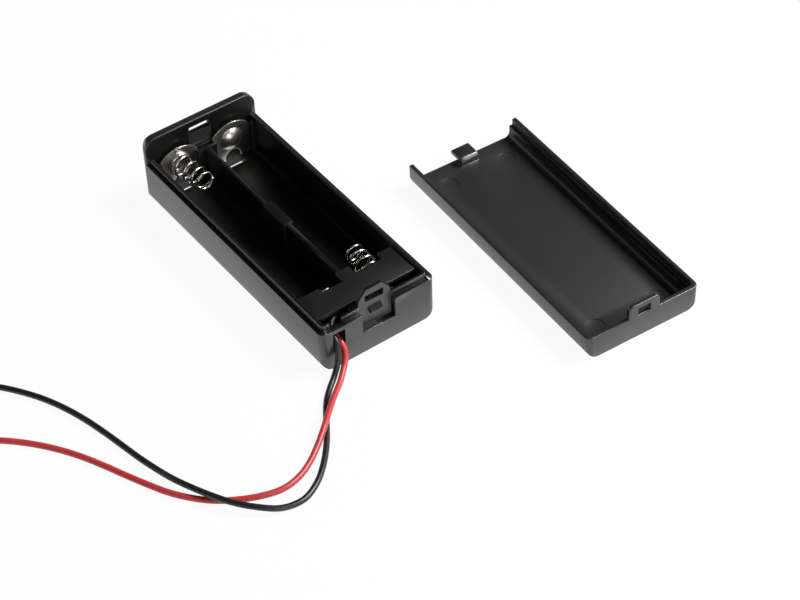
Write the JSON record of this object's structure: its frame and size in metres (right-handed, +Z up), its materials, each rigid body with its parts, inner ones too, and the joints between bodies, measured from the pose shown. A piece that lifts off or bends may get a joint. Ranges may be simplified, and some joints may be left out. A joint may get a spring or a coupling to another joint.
{
  "type": "cylindrical cell holder",
  "caption": "Small black case that holds cylindrical cells side by side, with a slide switch, wire leads and a clip-on cover shown taken off, upside down.",
  "frame": {"origin": "centre of the case's underside", "axes": "+Y along the cell bays towards the raised far wall, +Z up out of the open top, +X towards the cover, which lies upside down beside the case"},
  "size_m": [0.1809, 0.0975, 0.0168],
  "materials": {
    "moulded_black": "satin",
    "slider_black": "matte",
    "nickel_sheet": "bright nickel plate",
    "nickel_wire": "bright nickel plate",
    "brown_board": "phenolic board",
    "red_insulation": "soft PVC",
    "black_insulation": "soft PVC",
    "tinned_copper": "tinned strands"
  },
  "bodies": {
    "case": {"case_base": "moulded_black", "cover": "moulded_black", "chamber_plate": "moulded_black", "bridge_plate": "nickel_sheet", "bridge_spring": "nickel_wire", "positive_contact": "nickel_sheet", "negative_contact": "nickel_sheet", "negative_spring": "nickel_wire", "switch_frame": "nickel_sheet", "switch_base": "brown_board", "terminal_left": "nickel_sheet", "terminal_common": "nickel_sheet", "terminal_right": "nickel_sheet", "jumper_wire": "black_insulation", "red_lead": "red_insulation", "black_lead": "black_insulation", "red_bare_end": "tinned_copper", "black_bare_end": "tinned_copper"},
    "slider": {"switch_slider": "slider_black", "switch_wiper": "nickel_sheet"}
  },
  "joints": [
    {"name": "switch_slide", "type": "slide", "parent": "case", "child": "slider", "axis": [-1, 0, 0], "range_m": [0, 0.002]}
  ]
}
